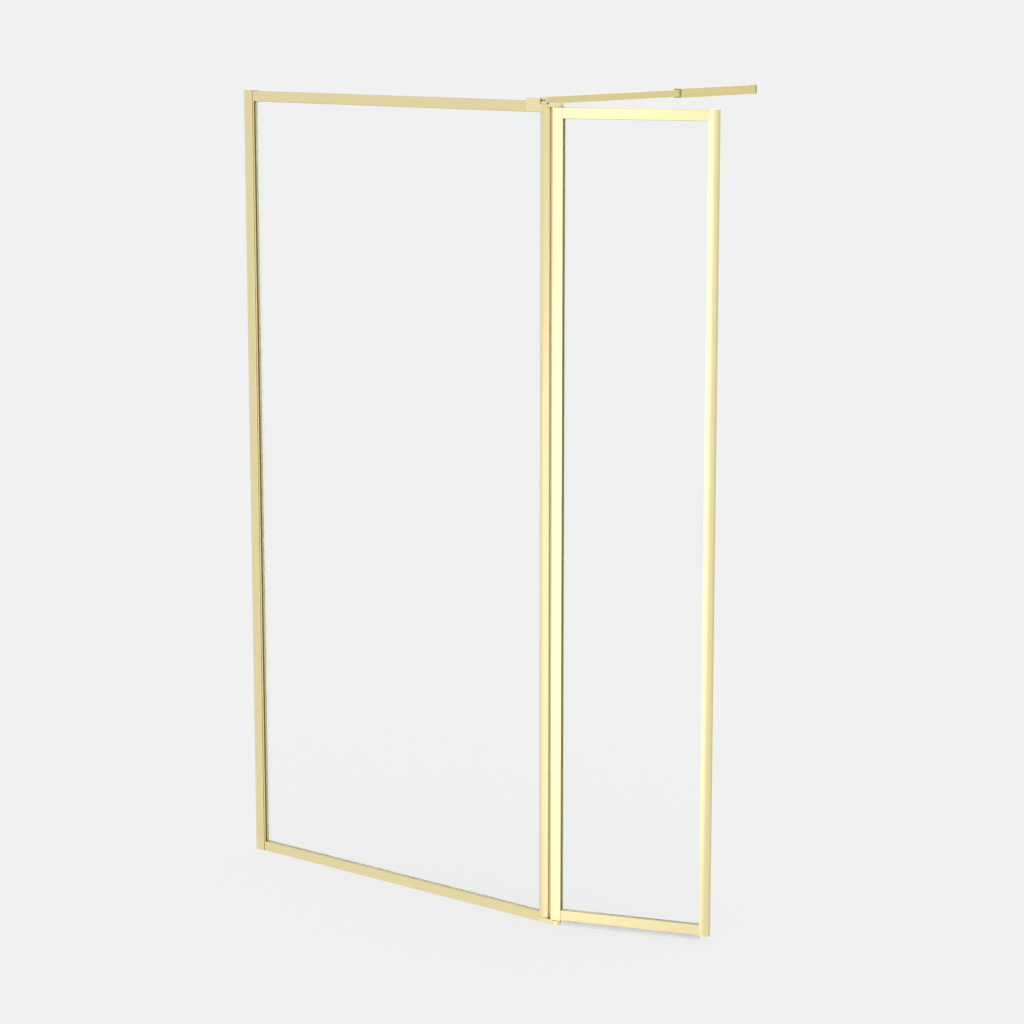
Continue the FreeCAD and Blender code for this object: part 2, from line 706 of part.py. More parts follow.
# Fin seal in the nose of the post, just clear of the pivot stile's swing.
fin_half = "size.gap_seal_web / 2"
root_half = "(size.gap_seal_root / 2 - size.press_fit)"
root_floor = "size.fixed_width - size.gap_seal_root + size.press_fit"
root_mouth = "size.fixed_width - size.gap_seal_root / 2"
fin_end = "%s - %s - size.swing_gap" % (pivot_x, swing_radius)
gap_seal = straight_piece("gap_seal", "XY_Plane", post_bottom, post_length, [[
    (root_floor, minus(root_half)), (root_mouth, minus(root_half)), (root_mouth, minus(fin_half)),
    (fin_end, minus(fin_half)), (fin_end, fin_half),
    (root_mouth, fin_half), (root_mouth, root_half), (root_floor, root_half),
]])

# Flipper: drawn about its pivot axis, then hung on it at its resting angle.
flipper_span = "%s - %s" % (closing_edge, pivot_face)
flipper_height = "%s - %s" % (flipper_top, flipper_bottom)
lower_key = "%s + %s" % (flipper_rail_bottom, key_height)
upper_key = "%s - %s" % (flipper_top, key_height)
pivot_key_start = "size.bush_radius + size.swivel_gap"
pivot_rail_x = "%s + size.key_length - size.screw_inset" % pivot_face
closing_rail_x = "%s - size.key_length + size.screw_inset" % closing_edge
bush_bore = ("0", "0", "size.bush_radius + size.press_fit")

flipper_pivot_stile = straight_piece(
    "flipper_pivot_stile", "XY_Plane", flipper_bottom, flipper_height,
    glazed_section(minus(pivot_face), pivot_face, 1, "size.pivot_stile_width"))
round_edges(flipper_pivot_stile, "size.stile_edge_radius", outer_corner_edges(flipper_pivot_stile, 2))
pocket(flipper_pivot_stile, "XY_Plane", flipper_top, "size.bush_length", circles=[bush_bore])
pocket(flipper_pivot_stile, "XY_Plane", "%s + size.bush_length" % flipper_bottom, "size.bush_length",
       circles=[bush_bore])

flipper_closing_stile = new_body("flipper_closing_stile")
closing_apex_number = size.flipper_width - size.pivot_stile_width / 2
bullnose_pad(
    flipper_closing_stile, closing_edge, closing_apex_number, "closing_width",
    "%s + size.end_cap_thickness" % flipper_bottom,
    "%s - 2 * size.end_cap_thickness" % flipper_height, True)
plug_section = rectangle(
    "%s + %s + size.sliding_fit" % (closing_edge, chamber_start),
    "%s - size.nose_radius + size.wall_thickness - size.sliding_fit" % closing_apex,
    minus(key_half), key_half)
closing_stile_cap_top = new_body("closing_stile_cap_top")
bullnose_pad(closing_stile_cap_top, closing_edge, closing_apex_number, "closing_width",
             "%s - size.end_cap_thickness" % flipper_top, "size.end_cap_thickness", False)
pad(closing_stile_cap_top, "XY_Plane",
    "%s - size.end_cap_thickness - size.end_cap_plug" % flipper_top, "size.end_cap_plug",
    [plug_section])
closing_stile_cap_bottom = new_body("closing_stile_cap_bottom")
bullnose_pad(closing_stile_cap_bottom, closing_edge, closing_apex_number, "closing_width",
             flipper_bottom, "size.end_cap_thickness", False)
pad(closing_stile_cap_bottom, "XY_Plane", "%s + size.end_cap_thickness" % flipper_bottom,
    "size.end_cap_plug", [plug_section])

flipper_bottom_rail = straight_piece(
    "flipper_bottom_rail", "YZ_Plane", pivot_face, flipper_span,
    swap_axes(glazed_section(
        flipper_rail_bottom, "%s + size.rail_height" % flipper_rail_bottom, 1, "size.rail_height")))
round_edges(flipper_bottom_rail, "size.edge_radius", outer_corner_edges(flipper_bottom_rail, 0))
rear_holes(flipper_bottom_rail, [(pivot_rail_x, lower_key), (closing_rail_x, lower_key)])
flipper_top_rail = straight_piece(
    "flipper_top_rail", "YZ_Plane", pivot_face, flipper_span,
    swap_axes(glazed_section(
        flipper_top, "%s - size.rail_height" % flipper_top, -1, "size.rail_height")))
round_edges(flipper_top_rail, "size.edge_radius", outer_corner_edges(flipper_top_rail, 0))
rear_holes(flipper_top_rail, [(pivot_rail_x, upper_key), (closing_rail_x, upper_key)])

lower_range = ("%s + %s" % (flipper_rail_bottom, key_low), "%s + %s" % (flipper_rail_bottom, key_high))
upper_range = ("%s - (%s)" % (flipper_top, key_high), "%s - (%s)" % (flipper_top, key_low))
flipper_key_bars = []
for low, high in (lower_range, upper_range):
    flipper_key_bars.append((
        rectangle(pivot_key_start, pivot_face, low, high),
        rectangle(pivot_face, "%s + size.key_length" % pivot_face, low, high)))
    flipper_key_bars.append((
        rectangle(closing_edge, "%s + size.groove_depth - size.sliding_fit" % closing_edge, low, high),
        rectangle("%s - size.key_length" % closing_edge, closing_edge, low, high)))
flipper_corner_keys = corner_keys("flipper_corner_keys", flipper_key_bars)
flipper_screws = rear_screws("flipper_screws", [
    (pivot_rail_x, lower_key), (closing_rail_x, lower_key),
    (pivot_rail_x, upper_key), (closing_rail_x, upper_key)])

# Flipper pane, gaskets, pivot bushes and the drip seal under the bottom rail.
pane_start = "%s - %s" % (pivot_face, glass_seat)
pane_end = "%s + %s" % (closing_edge, glass_seat)
pane_low = "%s + %s" % (flipper_rail_bottom, glass_low)
pane_high = "%s - %s" % (flipper_top, glass_low)
flipper_glass = straight_piece(
    "flipper_glass", "XZ_Plane", minus(half_glass), "size.glass_thickness",
    [rectangle(pane_start, pane_end, pane_low, pane_high)])
flipper_gasket_pivot = straight_piece(
    "flipper_gasket_pivot", "XY_Plane", pane_low, "%s - (%s)" % (pane_high, pane_low),
    gasket_section("%s - size.groove_depth" % pivot_face, pane_start, pivot_face))
flipper_gasket_closing = straight_piece(
    "flipper_gasket_closing", "XY_Plane", pane_low, "%s - (%s)" % (pane_high, pane_low),
    gasket_section("%s + size.groove_depth" % closing_edge, pane_end, closing_edge))
flipper_gasket_bottom = straight_piece(
    "flipper_gasket_bottom", "YZ_Plane", pivot_face, flipper_span,
    swap_axes(gasket_section(
        "%s + size.rail_height - size.groove_depth" % flipper_rail_bottom, pane_low,
        "%s + size.rail_height" % flipper_rail_bottom)))
flipper_gasket_top = straight_piece(
    "flipper_gasket_top", "YZ_Plane", pivot_face, flipper_span,
    swap_axes(gasket_section(
        "%s - size.rail_height + size.groove_depth" % flipper_top, pane_high,
        "%s - size.rail_height" % flipper_top)))
flipper_bead_low = "(%s + %s)" % (flipper_rail_bottom, bead_low)
flipper_bead_span = "%s - %s - %s" % (flipper_top, bead_low, flipper_bead_low)
add_bead(flipper_gasket_pivot, "XY_Plane", flipper_bead_low, flipper_bead_span, pivot_face, 1)
add_bead(flipper_gasket_closing, "XY_Plane", flipper_bead_low, flipper_bead_span, closing_edge, -1)
add_bead(flipper_gasket_bottom, "YZ_Plane", pivot_face, flipper_span,
         "%s + size.rail_height" % flipper_rail_bottom, 1)
add_bead(flipper_gasket_top, "YZ_Plane", pivot_face, flipper_span,
         "%s - size.rail_height" % flipper_top, -1)

bush_hole = ("0", "0", "size.pin_radius + size.running_fit")
bush_circle = ("0", "0", "size.bush_radius")
flange_circle = ("0", "0", "size.flange_radius")
full_bush = "size.bush_length + size.flange_thickness"
top_pivot_bush = straight_piece(
    "top_pivot_bush", "XY_Plane", "%s - size.bush_length" % flipper_top, "size.bush_length",
    circles=[bush_circle])
pad(top_pivot_bush, "XY_Plane", flipper_top, "size.flange_thickness", circles=[flange_circle])
pocket(top_pivot_bush, "XY_Plane", "%s + size.flange_thickness" % flipper_top, full_bush,
       circles=[bush_hole])
bottom_pivot_bush = straight_piece(
    "bottom_pivot_bush", "XY_Plane", flipper_bottom, "size.bush_length", circles=[bush_circle])
pad(bottom_pivot_bush, "XY_Plane", "%s - size.flange_thickness" % flipper_bottom,
    "size.flange_thickness", circles=[flange_circle])
pocket(bottom_pivot_bush, "XY_Plane", "%s + size.bush_length" % flipper_bottom, full_bush,
       circles=[bush_hole])

base_half = "size.drip_seal_base / 2"
fin_face = "(size.drip_seal_base / 2 - size.drip_seal_web)"
seal_shoulder = "%s - size.drip_seal_web" % flipper_rail_bottom
seal_tip = "%s - size.drip_seal_height" % flipper_rail_bottom
seal_start = "%s + size.swing_gap" % pivot_face
drip_seal = straight_piece("drip_seal", "YZ_Plane", seal_start, "%s - (%s)" % (closing_edge, seal_start), [[
    (minus(base_half), seal_tip), (minus(fin_face), seal_tip),
    (minus(fin_face), seal_shoulder), (fin_face, seal_shoulder),
    (fin_face, seal_tip), (base_half, seal_tip),
    (base_half, flipper_rail_bottom), (minus(base_half), flipper_rail_bottom),
]])

# Stabiliser arm: drawn from its swivel pin along +Y.
arm_low = "%s - %s" % (arm_mid, bar_half)


def square(half):
    return rectangle(minus(half), half, "%s - %s" % (arm_mid, half), "%s + %s" % (arm_mid, half))


# A square length of the arm from `start` to `end`, along +Y.
def square_pad(body, start, end, halves):
    pad(body, "XZ_Plane", minus(end), "%s - (%s)" % (end, start), [square(half) for half in halves])


arm_knuckle = straight_piece("arm_knuckle", "XY_Plane", arm_low, "size.bar_width", [
    rectangle(minus(bar_half), bar_half, "-size.knuckle_nose", "size.knuckle_length")])
tube_fit = "(%s - size.sliding_fit)" % bore_half
square_pad(arm_knuckle, "size.knuckle_length", "size.knuckle_length + size.key_length", [tube_fit])
slot_gap = "(size.tongue_thickness / 2 + size.swivel_gap)"
slot_wall = "(size.tongue_radius + size.swivel_gap)"
pocket(arm_knuckle, "YZ_Plane", slot_wall, "%s + %s" % (slot_wall, bar_half), [rectangle(
    "-size.bar_width", "size.slot_depth", "%s - %s" % (arm_mid, slot_gap), "%s + %s" % (arm_mid, slot_gap))])
pocket(arm_knuckle, "XY_Plane", "%s + %s" % (arm_mid, bar_half), "size.bar_width",
       circles=[("0", "0", "size.swivel_pin_radius + size.running_fit")])

arm_bar = new_body("arm_bar")
square_pad(arm_bar, "size.knuckle_length", "size.bar_end", [bar_half, bore_half])
round_edges(arm_bar, "size.bar_corner", outer_corner_edges(arm_bar, 1))

arm_bar_guide = new_body("arm_bar_guide")
square_pad(arm_bar_guide, "size.bar_end - size.guide_length", "size.bar_end", [tube_fit])
sleeve_fit = "(%s - size.sliding_fit)" % sleeve_bore
square_pad(arm_bar_guide, "size.bar_end", "size.bar_end + size.guide_length", [sleeve_fit])

arm_sleeve = new_body("arm_sleeve")
square_pad(arm_sleeve, "size.sleeve_start", sleeve_end, [sleeve_half, sleeve_bore])
round_edges(arm_sleeve, "size.sleeve_corner", outer_corner_edges(arm_sleeve, 1))
mouth_grub_y = "size.sleeve_start + size.grub_setback"
plug_grub_y = "%s - size.plug_length / 2" % sleeve_end
grub_hole_radius = "size.grub_radius + size.press_fit"
pocket(arm_sleeve, "XY_Plane", "%s - %s" % (arm_mid, sleeve_bore), "size.sleeve_wall", circles=[
    ("0", mouth_grub_y, grub_hole_radius), ("0", plug_grub_y, grub_hole_radius)])

sleeve_bush = new_body("sleeve_bush")
bar_fit = "(%s + size.sliding_fit)" % bar_half
square_pad(sleeve_bush, "size.sleeve_start - size.sleeve_bush_flange", "size.sleeve_start",
           ["(%s - size.sliding_fit)" % sleeve_half, bar_fit])
square_pad(sleeve_bush, "size.sleeve_start", "size.sleeve_start + size.sleeve_bush_length",
           ["(%s - size.press_fit)" % sleeve_bore, bar_fit])

arm_wall_plug = new_body("arm_wall_plug")
flange_start = "%s + size.plug_shadow_gap" % sleeve_end
square_pad(arm_wall_plug, "%s - size.plug_length" % sleeve_end, flange_start, [sleeve_fit])
square_pad(arm_wall_plug, flange_start, "%s + size.plug_flange" % flange_start, [sleeve_half])
pocket(arm_wall_plug, "XZ_Plane", "size.plug_length - %s" % sleeve_end,
       "size.plug_length + size.plug_shadow_gap + size.plug_flange",
       circles=[("0", arm_mid, "size.plug_hole_radius")])

grub_low = "%s - %s" % (arm_mid, sleeve_half)
sleeve_grub_screws = straight_piece(
    "sleeve_grub_screws", "XY_Plane", grub_low,
    "%s - %s - size.thrust_gap" % (sleeve_half, bar_half),
    circles=[("0", mouth_grub_y, "size.grub_radius")])
pad(sleeve_grub_screws, "XY_Plane", grub_low, "size.sleeve_wall + size.thrust_gap",
    circles=[("0", plug_grub_y, "size.grub_radius")])

fixed_pieces = [
    wall_channel, channel_cap, wall_stile, wall_stile_cap, top_rail, bottom_rail, pivot_post,
    wall_corner_keys, frame_screws, fixed_glass, fixed_gasket_wall, fixed_gasket_post,
    fixed_gasket_bottom, fixed_gasket_top, adjuster_screws, adjuster_caps, top_bracket,
    bottom_bracket, top_pivot_pin, bottom_pivot_pin, arm_swivel_pin, gap_seal,
]
flipper_pieces = [
    flipper_pivot_stile, flipper_closing_stile, closing_stile_cap_top, closing_stile_cap_bottom,
    flipper_bottom_rail, flipper_top_rail, flipper_corner_keys, flipper_screws, flipper_glass,
    flipper_gasket_pivot, flipper_gasket_closing, flipper_gasket_bottom, flipper_gasket_top,
    top_pivot_bush, bottom_pivot_bush, drip_seal,
]
arm_pieces = [
    arm_knuckle, arm_bar, arm_bar_guide, arm_sleeve, sleeve_bush, arm_wall_plug, sleeve_grub_screws,
]
for piece in flipper_pieces:
    hang_on_pivot(piece)
for piece in arm_pieces:
    hang_on_arm(piece)
doc.recompute()

# Nothing is written unless every feature built and every piece is a sound solid.
for item in doc.Objects:
    if "Invalid" in item.State or "Error" in item.State:
        raise ValueError("%s did not build: %s" % (item.Name, item.State))
nodes = fixed_pieces + flipper_pieces + arm_pieces
for piece in nodes:
    if piece.Shape.isNull() or not piece.Shape.isValid() or not piece.Shape.Solids:
        raise ValueError(piece.Label + " is not a sound solid")

os.makedirs("parts", exist_ok=True)
for piece in nodes:
    piece.Shape.exportStep("parts/%s.step" % piece.Label)
    print("%s: %d solid(s), %.1f cm3" % (
        piece.Label, len(piece.Shape.Solids), piece.Shape.Volume / 1000))
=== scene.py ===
import json
import math

import bmesh
import bpy
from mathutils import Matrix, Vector


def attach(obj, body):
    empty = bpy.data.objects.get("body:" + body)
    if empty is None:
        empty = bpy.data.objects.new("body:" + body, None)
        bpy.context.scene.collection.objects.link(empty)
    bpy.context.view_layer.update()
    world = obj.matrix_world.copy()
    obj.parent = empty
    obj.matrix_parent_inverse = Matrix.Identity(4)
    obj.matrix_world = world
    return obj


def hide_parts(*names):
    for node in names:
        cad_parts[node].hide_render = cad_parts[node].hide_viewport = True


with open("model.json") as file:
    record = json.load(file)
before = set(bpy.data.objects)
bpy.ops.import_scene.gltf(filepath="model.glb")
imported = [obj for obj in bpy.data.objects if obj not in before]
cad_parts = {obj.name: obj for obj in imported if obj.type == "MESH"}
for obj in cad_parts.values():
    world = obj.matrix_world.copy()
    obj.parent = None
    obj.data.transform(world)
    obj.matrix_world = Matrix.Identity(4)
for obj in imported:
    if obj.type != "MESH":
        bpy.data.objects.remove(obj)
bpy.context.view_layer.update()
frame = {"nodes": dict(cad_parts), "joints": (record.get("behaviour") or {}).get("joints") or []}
nodes = frame["nodes"]
joints = {joint["name"]: joint for joint in frame["joints"]}
scene = bpy.context.scene
scene.view_settings.view_transform = "Standard"
print("frame loaded:", len(nodes), "nodes")


# camera at the photograph's viewpoint
viewpoint = {
    "place": (5.2258, -5.3691, 2.29475),
    "look": (-0.619751, 0.763297, -0.182447),
    "sensor": 36,
    "lens": 102.158,      # for a square picture
    "farClip": 200,
}
camera = bpy.data.objects.new("screenCamera", bpy.data.cameras.new("screenCamera"))
camera.data.sensor_width = viewpoint["sensor"]
camera.data.lens = viewpoint["lens"]
camera.data.clip_end = viewpoint["farClip"]
camera.location = viewpoint["place"]
camera.rotation_mode = "QUATERNION"
camera.rotation_quaternion = Vector(viewpoint["look"]).to_track_quat("-Z", "Y")
scene.collection.objects.link(camera)
scene.camera = camera
print("camera placed")


# small helpers for node trees
def addNode(tree, kind, place, **settings):
    made = tree.nodes.new(kind)
    made.location = place
    for name, value in settings.items():
        setattr(made, name, value)
    return made


def wire(tree, start, end):
    tree.links.new(start, end)


def startMaterial(name):
    material = bpy.data.materials.new(name)
    material.use_nodes = True
    tree = material.node_tree
    return material, tree, tree.nodes["Principled BSDF"]


def noise(tree, place, source, scale, detail):
    made = addNode(tree, "ShaderNodeTexNoise", place)
    made.inputs["Scale"].default_value = scale
    made.inputs["Detail"].default_value = detail
    wire(tree, source, made.inputs["Vector"])
    return made.outputs["Fac"]


def ramp(tree, place, source, spread, colours):
    made = addNode(tree, "ShaderNodeValToRGB", place)
    for element, position, colour in zip(made.color_ramp.elements, spread, colours):
        element.position = position
        element.color = (*colour, 1)
    wire(tree, source, made.inputs["Fac"])
    return made.outputs["Color"]


def mapRange(tree, place, source, start, end):
    made = addNode(tree, "ShaderNodeMapRange", place)
    for name, value in zip(("From Min", "From Max", "To Min", "To Max"), (*start, *end)):
        made.inputs[name].default_value = value
    wire(tree, source, made.inputs["Value"])
    return made.outputs["Result"]


# a colour mix has its factor, two colours and result in these sockets
mixSockets = {"share": 0, "under": 6, "over": 7, "result": 2}


def mixColour(tree, place, share, under, over):
    made = addNode(tree, "ShaderNodeMix", place, data_type="RGBA")
    made.inputs[mixSockets["over"]].default_value = (*over, 1)
    wire(tree, share, made.inputs[mixSockets["share"]])
    wire(tree, under, made.inputs[mixSockets["under"]])
    return made.outputs[mixSockets["result"]]


def sheltered(tree, reach, spread):
    # painted shade: 1 in the corners where shade falls, 0 in the open
    shelter = addNode(tree, "ShaderNodeAmbientOcclusion", (-900, 450), samples=8)
    shelter.inputs["Distance"].default_value = reach
    return ramp(tree, (-650, 500), shelter.outputs["AO"], spread, ((1, 1, 1), (0, 0, 0)))


def roundEdges(tree, radius):
    made = addNode(tree, "ShaderNodeBevel", (-450, -400), samples=4)
    made.inputs["Radius"].default_value = radius
    return made.outputs["Normal"]


def addBump(tree, shader, height, strength, depth, edges=None):
    bump = addNode(tree, "ShaderNodeBump", (-250, -300))
    bump.inputs["Strength"].default_value = strength
    bump.inputs["Distance"].default_value = depth
    wire(tree, height, bump.inputs["Height"])
    if edges is not None:
        wire(tree, edges, bump.inputs["Normal"])
    wire(tree, bump.outputs["Normal"], shader.inputs["Normal"])


# brushed gold: the grain runs along each extrusion
brushedGold = {
    "pale": (0.872, 0.768, 0.440),
    "deep": (0.838, 0.722, 0.392),
    "toneSpread": (0.30, 0.70),
    "grainAcross": 1400,      # brush lines per metre
    "grainAlong": 9,
    "grainDetail": 3,
    "bloom": 3.5,             # slow change of sheen along a length
    "bloomDetail": 4,
    "rough": (0.27, 0.35),
    "roughFrom": (0.6, 1.4),      # grain and bloom added up
    "bump": 0.05,
    "bumpDepth": 0.0003,
    "edgeRadius": 0.0007,
    "shelterReach": 0.016,
    "shelterSpread": (0.62, 0.84),
    "reveal": (0.19, 0.150, 0.038),      # painted shade on the deep inner sides beside the glass
    "revealFacing": (0.80, 0.97),
}
armGold = {"pale": (0.965, 0.835, 0.405), "deep": (0.930, 0.790, 0.365)}
# painted shade colours that the gold takes on in its corners
softPaintedShade = (0.56, 0.50, 0.25)
faintPaintedShade = (0.74, 0.64, 0.34)


def makeBrushedGold(name, along, paintedCornerShade, turn=0.0, tones=brushedGold, reveal=None):
    material, tree, shader = startMaterial(name)
    gold = brushedGold
    coords = addNode(tree, "ShaderNodeTexCoord", (-1500, 0))
    squared = addNode(tree, "ShaderNodeMapping", (-1300, 100))      # turned back onto the axes
    squared.inputs["Rotation"].default_value = (0, 0, -turn)
    stretched = addNode(tree, "ShaderNodeMapping", (-1100, 100))
    stretch = [gold["grainAcross"]] * 3
    stretch["XYZ".index(along)] = gold["grainAlong"]
    stretched.inputs["Scale"].default_value = stretch
    wire(tree, coords.outputs["Object"], squared.inputs["Vector"])
    wire(tree, squared.outputs["Vector"], stretched.inputs["Vector"])
    grain = noise(tree, (-900, 150), stretched.outputs["Vector"], 1, gold["grainDetail"])
    bloom = noise(tree, (-900, -150), coords.outputs["Object"], gold["bloom"], gold["bloomDetail"])

    tone = ramp(tree, (-650, 250), grain, gold["toneSpread"], (tones["deep"], tones["pale"]))
    # painted shade in the corners, found by ambient occlusion
    paintedShadeShare = sheltered(tree, gold["shelterReach"], gold["shelterSpread"])
    colour = mixColour(tree, (-350, 350), paintedShadeShare, tone, paintedCornerShade)
    # painted shade on the inner sides that face the glass, picked by their normal
    if reveal:
        side = addNode(tree, "ShaderNodeVectorMath", (-650, 750), operation="DOT_PRODUCT")
        side.inputs[1].default_value = reveal
        wire(tree, coords.outputs["Normal"], side.inputs[0])
        revealShadeShare = mapRange(tree, (-450, 750), side.outputs["Value"], gold["revealFacing"], (0, 1))
        colour = mixColour(tree, (-150, 450), revealShadeShare, colour, gold["reveal"])
    wire(tree, colour, shader.inputs["Base Color"])

    sheen = addNode(tree, "ShaderNodeMath", (-650, -100), operation="ADD")
    wire(tree, grain, sheen.inputs[0])
    wire(tree, bloom, sheen.inputs[1])
    rough = mapRange(tree, (-450, -100), sheen.outputs[0], gold["roughFrom"], gold["rough"])
    wire(tree, rough, shader.inputs["Roughness"])
    addBump(tree, shader, grain, gold["bump"], gold["bumpDepth"], roundEdges(tree, gold["edgeRadius"]))
    shader.inputs["Metallic"].default_value = 1
    return material


# cast brackets: same gold, satin from a fine blast instead of a brush
castGold = {
    "pale": (0.965, 0.850, 0.510),
    "deep": (0.930, 0.805, 0.455),
    "toneSpread": (0.30, 0.70),
    # near-black painted shade for the corners and for the slot at the tongue's root
    "paintedCornerShade": (0.05, 0.038, 0.012),
    "shelterReach": 0.012,
    "shelterSpread": (0.36, 0.70),
    "pit": 2600,
    "pitDetail": 2,
    "cloud": 60,
    "cloudDetail": 5,
    "rough": (0.26, 0.40),
    "bump": 0.10,
    "bumpDepth": 0.0002,
    "edgeRadius": 0.001,
    "rootOffset": (-0.0095, -0.0050, 0),         # from the swivel to where the arm's tongue leaves the block
    "rootSpread": (0.0036, 0.0060, 0.0023),      # reach of the painted shade in the slot there
    "rootFade": (0.75, 1.15),
}


def makeCastGold(name, tongueRoot=None):
    material, tree, shader = startMaterial(name)
    gold = castGold
    coords = addNode(tree, "ShaderNodeTexCoord", (-1100, 0))
    pits = noise(tree, (-900, 100), coords.outputs["Object"], gold["pit"], gold["pitDetail"])
    cloud = noise(tree, (-900, -150), coords.outputs["Object"], gold["cloud"], gold["cloudDetail"])
    tone = ramp(tree, (-650, 150), cloud, gold["toneSpread"], (gold["deep"], gold["pale"]))
    # painted shade in the corners, found by ambient occlusion
    paintedShadeShare = sheltered(tree, gold["shelterReach"], gold["shelterSpread"])
    colour = mixColour(tree, (-350, 300), paintedShadeShare, tone, gold["paintedCornerShade"])
    # painted shade: the slot where the tongue leaves the block is darkened by position
    if tongueRoot:
        spot = addNode(tree, "ShaderNodeMapping", (-900, 700), vector_type="TEXTURE")
        spot.inputs["Location"].default_value = tongueRoot
        spot.inputs["Scale"].default_value = gold["rootSpread"]
        away = addNode(tree, "ShaderNodeVectorMath", (-700, 700), operation="LENGTH")
        wire(tree, coords.outputs["Object"], spot.inputs["Vector"])
        wire(tree, spot.outputs["Vector"], away.inputs[0])
        slotShadeShare = mapRange(tree, (-500, 700), away.outputs["Value"], gold["rootFade"], (1, 0))
        colour = mixColour(tree, (-150, 450), slotShadeShare, colour, gold["paintedCornerShade"])
    wire(tree, colour, shader.inputs["Base Color"])
    rough = mapRange(tree, (-450, -100), cloud, (0, 1), gold["rough"])
    wire(tree, rough, shader.inputs["Roughness"])
    addBump(tree, shader, pits, gold["bump"], gold["bumpDepth"], roundEdges(tree, gold["edgeRadius"]))
    shader.inputs["Metallic"].default_value = 1
    return material


# clear toughened glass, with the faint green of its iron and a trace of water film
paneGlass = {
    "tint": (0.974, 0.998, 0.989),
    "clean": (0.980, 1.0, 0.994),
    "tintSpread": (0.35, 0.75),
    "film": 7,
    "filmDetail": 5,
    "filmRough": (0.0, 0.012),
    "filmFrom": (0.5, 0.9),
    "index": 1.45,
    "gloss": 0.3,
    "shadow": (0.93, 0.96, 0.95),      # what the pane lets through to its shadow
}


def makePaneGlass(name):
    material, tree, shader = startMaterial(name)
    glass = paneGlass
    coords = addNode(tree, "ShaderNodeTexCoord", (-900, 0))
    film = noise(tree, (-700, 0), coords.outputs["Object"], glass["film"], glass["filmDetail"])
    tone = ramp(tree, (-450, 100), film, glass["tintSpread"], (glass["tint"], glass["clean"]))
    wire(tree, tone, shader.inputs["Base Color"])
    rough = mapRange(tree, (-450, -150), film, glass["filmFrom"], glass["filmRough"])
    wire(tree, rough, shader.inputs["Roughness"])
    shader.inputs["IOR"].default_value = glass["index"]
    shader.inputs["Transmission Weight"].default_value = 1
    shader.inputs["Specular IOR Level"].default_value = glass["gloss"]
    path = addNode(tree, "ShaderNodeLightPath", (0, 350))
    clear = addNode(tree, "ShaderNodeBsdfTransparent", (0, -250))
    clear.inputs["Color"].default_value = (*glass["shadow"], 1)
    pick = addNode(tree, "ShaderNodeMixShader", (350, 100))
    wire(tree, path.outputs["Is Shadow Ray"], pick.inputs[0])
    wire(tree, shader.outputs[0], pick.inputs[1])
    wire(tree, clear.outputs[0], pick.inputs[2])
    wire(tree, pick.outputs[0], tree.nodes["Material Output"].inputs["Surface"])
    return material


# the return panel swings square both ways, so its upper limit tells how far it is turned at rest
pivot = joints["flipper_pivot"]
flipperTurn = math.radians(90 - pivot["range_deg"][1])
leafLine = (math.cos(flipperTurn), math.sin(flipperTurn), 0)
leafBack = (-math.sin(flipperTurn), math.cos(flipperTurn), 0)

# moulded finishes share one plain recipe; a lip is painted shade, the tone in front of the glass, and which
# way is back
mouldedGrain = {"toneSpread": (0.30, 0.70), "detail": 4, "bumpDepth": 0.0002}
paleVinyl = {"low": (0.79, 0.80, 0.79), "high": (0.86, 0.87, 0.86), "scale": 900,
             "rough": (0.40, 0.55), "bump": 0.08, "metal": 0, "clear": 0}
mouldedFinishes = {
    "glazingVinyl": paleVinyl,
    # painted shade on the gaskets' faces in front of the glass: faint on the rails, dark olive on the leaf's
    # pivot gasket
    "railVinyl": dict(paleVinyl, low=(0.92, 0.89, 0.78), high=(0.96, 0.93, 0.83),
                      lip=((0, 1, 0), (0.95, 0.90, 0.66))),
    "wallVinyl": dict(paleVinyl, low=(0.93, 0.89, 0.76), high=(0.97, 0.93, 0.81)),
    "leafVinyl": dict(paleVinyl, low=(0.90, 0.87, 0.78), high=(0.95, 0.92, 0.84),
                      lip=(leafBack, (0.27, 0.228, 0.062))),
    "leafRailVinyl": dict(paleVinyl, low=(0.90, 0.88, 0.80), high=(0.95, 0.93, 0.86),
                          lip=(leafBack, (0.90, 0.85, 0.62))),
    "gapVinyl": dict(paleVinyl, low=(0.86, 0.80, 0.54), high=(0.93, 0.87, 0.62), clear=0.25),
    "bronzeNylon": {"low": (0.30, 0.245, 0.105), "high": (0.37, 0.305, 0.140), "scale": 1800,
                    "rough": (0.42, 0.58), "bump": 0.12, "metal": 0, "clear": 0},
    # painted shade: the bush at the sleeve's mouth is toned dark bronze for the shade in the mouth
    "mouthShadeTrim": {"low": (0.40, 0.30, 0.105), "high": (0.48, 0.365, 0.140), "scale": 600,
                  "rough": (0.36, 0.50), "bump": 0.08, "metal": 0, "clear": 0},
    # painted shade: the wall plug's flange is toned near-black bronze for the shade at the arm's wall end
    "plugPaintedShade": {"low": (0.17, 0.135, 0.050), "high": (0.23, 0.185, 0.075), "scale": 600,
                   "rough": (0.40, 0.55), "bump": 0.08, "metal": 0, "clear": 0},
    "darkNylon": {"low": (0.022, 0.022, 0.023), "high": (0.040, 0.040, 0.041), "scale": 1800,
                  "rough": (0.42, 0.58), "bump": 0.15, "metal": 0, "clear": 0},
    "turnedSteel": {"low": (0.50, 0.50, 0.49), "high": (0.66, 0.66, 0.65), "scale": 700,
                    "rough": (0.22, 0.34), "bump": 0.05, "metal": 1, "clear": 0},
    "clearVinyl": {"low": (0.885, 0.897, 0.897), "high": (0.950, 0.957, 0.957), "scale": 40,
                   "rough": (0.23, 0.35), "bump": 0.06, "metal": 0, "clear": 0.70},
    "trimGold": {"low": (0.84, 0.73, 0.40), "high": (0.875, 0.775, 0.445), "scale": 500,
                 "rough": (0.28, 0.38), "bump": 0.06, "metal": 1, "clear": 0},
}


